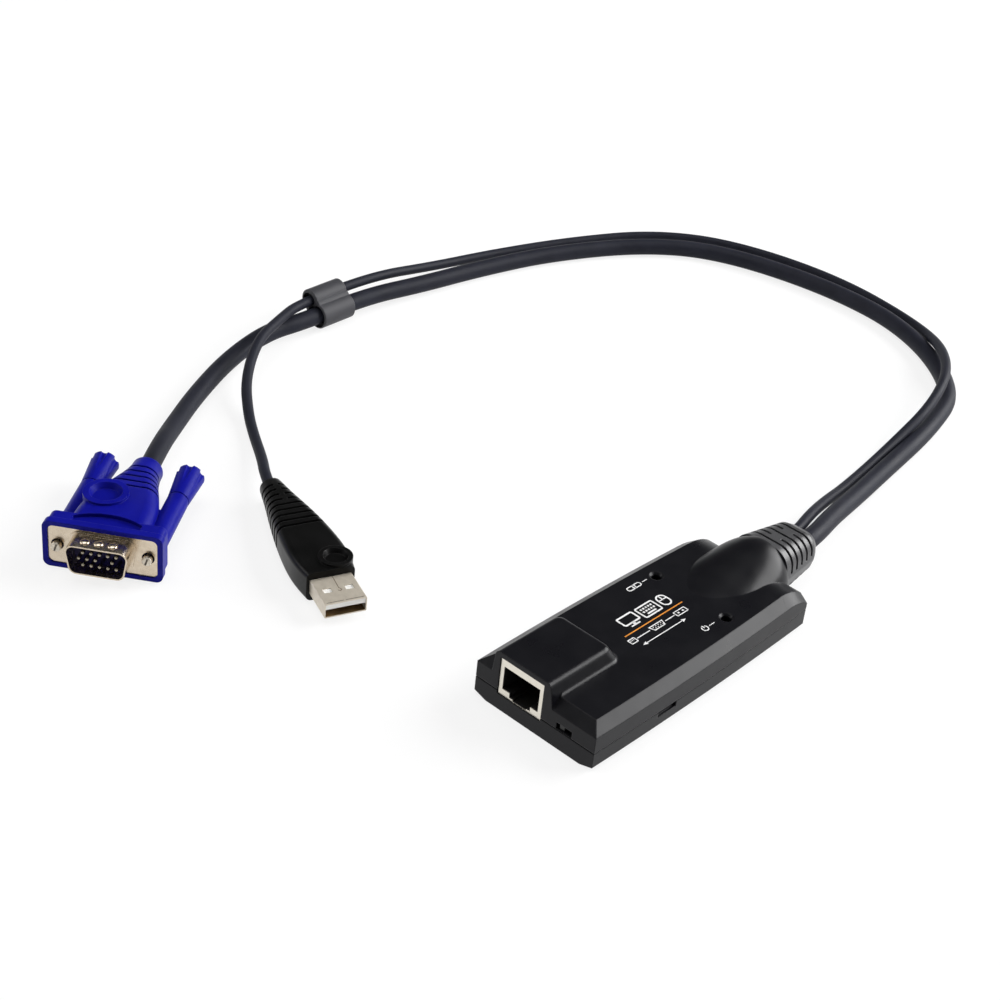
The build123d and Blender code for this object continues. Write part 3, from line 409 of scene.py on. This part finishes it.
def thin_piece(name, shapes, place, thickness, finish, body=ROOT):
    """Flat shapes with a small thickness, drawn on a face."""
    vertices = []
    faces = []
    for points, loops in shapes:
        start = len(vertices)
        vertices += [place(*point) for point in points]
        faces += [tuple(start + k for k in loop) for loop in loops]
    mesh = bpy.data.meshes.new(name)
    mesh.from_pydata(vertices, [], faces)
    obj = add_piece(name, mesh, finish, body)
    thick = obj.modifiers.new("thickness", "SOLIDIFY")
    thick.thickness = thickness * MM
    thick.offset = -1


def turned_piece(name, profile, place, finish, body=ROOT):
    """Round form: a profile of (radius, height) turned about its axis."""
    vertices = []
    for radius, height in profile[:-1]:
        for i in range(TURN_STEPS):
            turn = 2 * pi * i / TURN_STEPS
            vertices.append(place(radius * cos(turn), radius * sin(turn), height))
    vertices.append(place(0, 0, profile[-1][1]))
    rings = len(profile) - 1
    faces = []
    for ring in range(rings - 1):
        for i in range(TURN_STEPS):
            j = (i + 1) % TURN_STEPS
            low = ring * TURN_STEPS
            high = low + TURN_STEPS
            faces.append((low + i, low + j, high + j, high + i))
    tip = len(vertices) - 1
    low = (rings - 1) * TURN_STEPS
    faces += [(low + i, low + (i + 1) % TURN_STEPS, tip) for i in range(TURN_STEPS)]
    faces.append(tuple(range(TURN_STEPS - 1, -1, -1)))
    mesh = bpy.data.meshes.new(name)
    mesh.from_pydata(vertices, [], faces)
    mesh.shade_smooth()
    add_piece(name, mesh, finish, body)


print_white = plastic("print_white", (0.66, 0.66, 0.66), (0.74, 0.74, 0.74), 0.5, edge=0)
print_orange = plastic("print_orange", (0.6, 0.2, 0.012), (0.68, 0.25, 0.02), 0.5, edge=0)
seam_dark = plastic("seam_dark", (0.1, 0.075, 0.045), (0.15, 0.11, 0.07), 0.5, edge=0)
# Dark brown for painted shade, in the screw slots and along the fold near the USB shell's mouth
slot_and_fold_shade = plastic("slot_and_fold_shade", (0.05, 0.037, 0.025), (0.08, 0.06, 0.04), 0.5, edge=0)
# Warm dark brown, mottled: painted shade on the USB shell's floor under the tongue
cavity_shade_brown = plastic("cavity_shade_brown", (0.06, 0.032, 0.009), (0.2, 0.12, 0.045), 0.4, edge=0)


# Print on the case: plain signs for a screen, keys, a mouse, the sockets and the lamps
SIGN_LINE = 0.34
LEADER_LINE = 0.28


def screen_sign():
    """Monitor on its foot."""
    return [
        band(rounded(-18.2, 2.75, -12.4, 6.05, 0.45), 0.55, True),
        band([(-15.3, 2.7), (-15.3, 1.8)], 1.0),
        band([(-17.0, 1.65), (-13.6, 1.65)], 0.45),
    ]


def keys_sign():
    """Keyboard with two rows of keys and a long key."""
    shapes = [band(rounded(-11.0, 1.6, -4.4, 5.9, 0.45), 0.5, True)]
    for row in (4.75, 3.65):
        for i in range(5):
            u = -9.7 + i
            shapes.append(band([(u - 0.3, row), (u + 0.3, row)], 0.6))
    shapes.append(band([(-9.4, 2.55), (-6.0, 2.55)], 0.55))
    return shapes


def mouse_sign():
    """Mouse with its wheel."""
    return [
        band(rounded(-3.0, 1.6, 0.1, 5.9, 1.5), 0.5, True),
        band([(-1.45, 5.9), (-1.45, 4.2)], 0.4),
        band([(-2.9, 4.1), (0.0, 4.1)], 0.35),
    ]


def sockets_sign():
    """Network socket joined to a video plug and a USB plug."""
    middle = -2.45
    low = middle - 0.85
    high = middle + 0.85
    line = 0.3
    shapes = [band(rounded(-22.6, low, -20.3, high, 0.15), line, True)]
    for u in (-22.0, -21.45, -20.9):
        shapes.append(band([(u, middle + 0.55), (u, middle)], 0.22))
    shapes += [
        band([(-19.8, middle), (-14.6, middle)], line),
        band([(-14.0, high), (-8.8, high), (-9.4, low), (-13.4, low)], line, True),
        band([(-8.3, middle), (-4.6, middle)], line),
        band(rounded(-4.0, low, 0.3, high, 0.15), line, True),
        band([(-3.1, middle), (-2.4, middle)], 0.55),
        band([(-1.3, middle), (-0.6, middle)], 0.55),
    ]
    for i in range(4):
        u = -12.9 + i
        shapes.append(band([(u - 0.16, middle + 0.3), (u + 0.16, middle + 0.3)], 0.32))
        shapes.append(band([(u + 0.2, middle - 0.35), (u + 0.52, middle - 0.35)], 0.32))
    return shapes


def reach_sign():
    """Long arrow with a head at each end."""
    middle = -5.3
    return [
        band([(-19.4, middle), (-4.6, middle)], 0.28),
        filled([(-20.7, middle), (-19.2, middle - 0.6), (-19.2, middle + 0.6)]),
        filled([(-3.3, middle), (-4.8, middle + 0.6), (-4.8, middle - 0.6)]),
    ]


def link_sign():
    """Two joined links and a leader to the lamp."""
    middle = 12.7
    low = middle - 0.7
    high = middle + 0.7
    return [
        band(rounded(-5.6, low, -2.6, high, 0.65), SIGN_LINE, True),
        band(rounded(-3.5, low, -0.5, high, 0.65), SIGN_LINE, True),
        band([(0.3, middle), (2.3, middle)], LEADER_LINE),
    ]


def power_sign():
    """Broken ring with a bar, and a leader to the lamp."""
    ring = -2.6
    middle = -11.3
    return [
        band(arc(ring, middle, 0.95, 125, 415, 28), SIGN_LINE),
        band([(ring, middle + 0.1), (ring, middle + 1.2)], SIGN_LINE),
        band([(-0.9, middle), (1.3, middle)], LEADER_LINE),
    ]


top_marks = screen_sign() + keys_sign() + mouse_sign() + sockets_sign() + reach_sign()
lamp_marks = link_sign() + power_sign()
rule = [band([(-21.8, 0.0), (1.8, 0.0)], 0.36)]
thin_piece("top_print", top_marks, case_print, PRINT_THICKNESS, print_white)
thin_piece("lamp_print", lamp_marks, case_print, PRINT_THICKNESS, print_white)
thin_piece("orange_rule", rule, case_print, PRINT_THICKNESS, print_orange)

# Dimples of the video shell and tips of its thumbscrews, each tip with a dark bar of painted shade in its
# slot
SHELL_TOP = 4.5
SUNK = 0.02
DIMPLE_RADIUS = 1.35
DIMPLE_HEIGHT = 0.55
DIMPLE_AHEAD = 3.3
DIMPLE_PITCH = 3.8
dimple = []
for degrees in range(0, 91, 10):
    rise = radians(degrees)
    dimple.append((DIMPLE_RADIUS * cos(rise), DIMPLE_HEIGHT * sin(rise) - SUNK))
for number, b in enumerate((-DIMPLE_PITCH, 0.0, DIMPLE_PITCH), 1):
    turned_piece(
        f"shell_dimple_{number}",
        dimple,
        lambda x, y, z, b=b: video_place(DIMPLE_AHEAD + x, b + y, SHELL_TOP + z),
        plug_nickel,
    )

SCREW_END = 1.5
SCREW_OFFSET = 12.5
TIP_HEIGHT = 0.46
SLOT_SHADE_THICKNESS = 0.12
TIP = [(1.4, -SUNK), (1.4, 0.1), (1.3, 0.26), (1.05, 0.38), (0.6, 0.44), (0.0, TIP_HEIGHT)]
for side, across in (("left", -SCREW_OFFSET), ("right", SCREW_OFFSET)):
    turned_piece(
        side + "_screw_tip",
        TIP,
        lambda x, y, z, across=across: video_place(SCREW_END + z, across + x, y),
        usb_steel,
        side + "_thumbscrew",
    )
    # Dark bar across the tip: painted shade in the screw's slot
    thin_piece(
        side + "_screw_slot_shade",
        [band([(-0.3, -1.0), (0.3, 1.0)], 0.5)],
        lambda u, v, across=across: video_place(SCREW_END + TIP_HEIGHT + SUNK, across + u, v),
        SLOT_SHADE_THICKNESS,
        slot_and_fold_shade,
        side + "_thumbscrew",
    )

# Folded sheet of the USB shell: its seam, painted shade along the fold near its mouth, and painted shade on
# its floor under the tongue
USB_TOP = 2.25
MARK_THICKNESS = 0.02
CAVITY_SHADE_THICKNESS = 0.03
SHELL_FLOOR = 0.33 - USB_TOP
CAVITY_SHADE_HALF = 5.65
LIP_AHEAD = -0.55
CAVITY_SHADE_BACK = -9.0
CAVITY_SHADE_FRONT = -0.15
seam = [(-11.4, 0.35), (-6.2, 0.2), (-5.2, 0.75), (-4.7, 0.2), (-5.2, -0.35)]
lip_shade_lines = [
    band([(LIP_AHEAD, -5.3), (LIP_AHEAD, -0.5)], 0.16),
    band([(LIP_AHEAD, 0.1), (LIP_AHEAD, 5.3)], 0.16),
]
cavity_shade = [
    (CAVITY_SHADE_FRONT, -CAVITY_SHADE_HALF),
    (CAVITY_SHADE_FRONT, CAVITY_SHADE_HALF),
    (CAVITY_SHADE_BACK, CAVITY_SHADE_HALF),
    (CAVITY_SHADE_BACK, -CAVITY_SHADE_HALF),
]
thin_piece(
    "usb_shell_seam",
    [band(seam, 0.2)],
    lambda u, v: usb_place(u, v, USB_TOP + MARK_THICKNESS),
    MARK_THICKNESS,
    seam_dark,
)
# Thin dark lines across the top near the mouth: painted shade along the fold of the sheet
thin_piece(
    "usb_shell_lip_shade",
    lip_shade_lines,
    lambda u, v: usb_place(u, v, USB_TOP + MARK_THICKNESS),
    MARK_THICKNESS,
    slot_and_fold_shade,
)
# Warm dark sheet on the shell's floor under the tongue: painted shade in the cavity
thin_piece(
    "usb_shell_cavity_shade",
    [filled(cavity_shade)],
    lambda u, v: usb_place(u, v, SHELL_FLOOR),
    CAVITY_SHADE_THICKNESS,
    cavity_shade_brown,
)


# World: a white wall round the floor under a dim ceiling, by the height of the direction
WHITE = (1.0, 1.0, 1.0)
CEILING = (0.06, 0.06, 0.06)
WALL_TOP = 0.1
CEILING_START = 0.28


def studio_world():
    """World that is white low down and dim overhead."""
    world = bpy.data.worlds.new("studio")
    scene.world = world
    world.use_nodes = True
    tree = world.node_tree
    tree.nodes.clear()
    out = tree.nodes.new("ShaderNodeOutputWorld")
    sky = tree.nodes.new("ShaderNodeBackground")
    direction = tree.nodes.new("ShaderNodeTexCoord")
    split = tree.nodes.new("ShaderNodeSeparateXYZ")
    tree.links.new(direction.outputs["Generated"], split.inputs[0])
    fade = ramp(tree, split.outputs["Z"], WHITE, CEILING, WALL_TOP, CEILING_START)
    tree.links.new(fade, sky.inputs["Color"])
    sky.inputs["Strength"].default_value = 1.0
    tree.links.new(sky.outputs[0], out.inputs[0])


# Floor: it glows for the rays that see it, and the rest of its look keeps the shadows
FLOOR_REACH = 30.0
FLOOR_HEIGHT = -0.00005
FLOOR_GREY = (0.9, 0.9, 0.9)
GLOW_SHARE = 0.8
SEEN_RAYS = ["Is Camera Ray", "Is Glossy Ray", "Is Transmission Ray"]


def ray_kind(tree, names):
    """Largest of the named light path flags."""
    path = tree.nodes.new("ShaderNodeLightPath")
    value = path.outputs[names[0]]
    for name in names[1:]:
        join = tree.nodes.new("ShaderNodeMath")
        join.operation = "MAXIMUM"
        tree.links.new(value, join.inputs[0])
        tree.links.new(path.outputs[name], join.inputs[1])
        value = join.outputs[0]
    return value


def floor_white():
    """White material that glows for the rays that see it."""
    mat, tree, shader, _ = material("floor_white")
    tree.nodes.remove(shader)
    diffuse = tree.nodes.new("ShaderNodeBsdfDiffuse")
    diffuse.inputs[0].default_value = (*FLOOR_GREY, 1)
    glow = tree.nodes.new("ShaderNodeEmission")
    glow.inputs[0].default_value = (*WHITE, 1)
    share = tree.nodes.new("ShaderNodeMath")
    share.operation = "MULTIPLY"
    share.inputs[1].default_value = GLOW_SHARE
    tree.links.new(ray_kind(tree, SEEN_RAYS), share.inputs[0])
    mix = tree.nodes.new("ShaderNodeMixShader")
    tree.links.new(share.outputs[0], mix.inputs[0])
    tree.links.new(diffuse.outputs[0], mix.inputs[1])
    tree.links.new(glow.outputs[0], mix.inputs[2])
    tree.links.new(mix.outputs[0], tree.nodes["Material Output"].inputs[0])
    return mat


def studio_floor():
    """Wide square just under the part."""
    mesh = bpy.data.meshes.new("floor")
    corners = [
        (-FLOOR_REACH, -FLOOR_REACH, 0),
        (FLOOR_REACH, -FLOOR_REACH, 0),
        (FLOOR_REACH, FLOOR_REACH, 0),
        (-FLOOR_REACH, FLOOR_REACH, 0),
    ]
    mesh.from_pydata(corners, [], [(0, 1, 2, 3)])
    floor = bpy.data.objects.new("floor", mesh)
    floor.location.z = FLOOR_HEIGHT
    scene.collection.objects.link(floor)
    mesh.materials.append(floor_white())


# Lamps: places and sizes in metres, power in watts
CENTRE = (-0.08, 0.05, 0.0)


def lamp(name, place, width, height, power):
    """Soft rectangular lamp aimed at the middle of the part."""
    data = bpy.data.lights.new(name, "AREA")
    data.shape = "RECTANGLE"
    data.size = width
    data.size_y = height
    data.energy = power
    obj = bpy.data.objects.new(name, data)
    obj.location = place
    aim = Vector(CENTRE) - Vector(place)
    obj.rotation_euler = aim.to_track_quat("-Z", "Y").to_euler()
    scene.collection.objects.link(obj)


studio_world()
studio_floor()
lamp("key", (0.46, 0.98, 0.62), width=1.1, height=0.9, power=30.0)
lamp("overhead", (-0.25, -0.1, 1.2), width=0.9, height=0.9, power=7.0)
lamp("fill", (-0.9, -0.7, 0.6), width=0.7, height=0.5, power=4.0)
